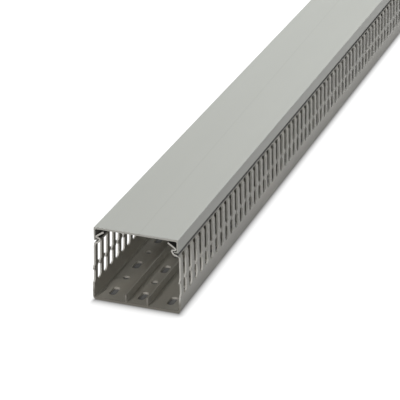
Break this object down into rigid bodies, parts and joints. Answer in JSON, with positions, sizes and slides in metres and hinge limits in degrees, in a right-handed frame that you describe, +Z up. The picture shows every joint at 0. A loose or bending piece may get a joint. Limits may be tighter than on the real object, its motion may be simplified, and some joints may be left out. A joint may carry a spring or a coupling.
{
  "type": "slotted wire duct with clip-on cover",
  "caption": "Straight length of grey slotted plastic wire duct with perforated floor, two floor fins, slotted side walls and a clip-on cover.",
  "frame": {"origin": "middle of the underside", "axes": "+Y along the length away from the front end, +Z up through the cover, +X across"},
  "size_m": [0.075, 1, 0.0645],
  "materials": {
    "base_plastic": "satin grey extruded rigid PVC",
    "cover_plastic": "satin grey extruded rigid PVC"
  },
  "bodies": {
    "base": {"duct_base": "base_plastic"},
    "cover": {"duct_cover": "cover_plastic"}
  },
  "joints": [
    {"name": "cover_slide", "type": "slide", "parent": "base", "child": "cover", "axis": [0, 1, 0], "range_m": [0, 1]}
  ]
}
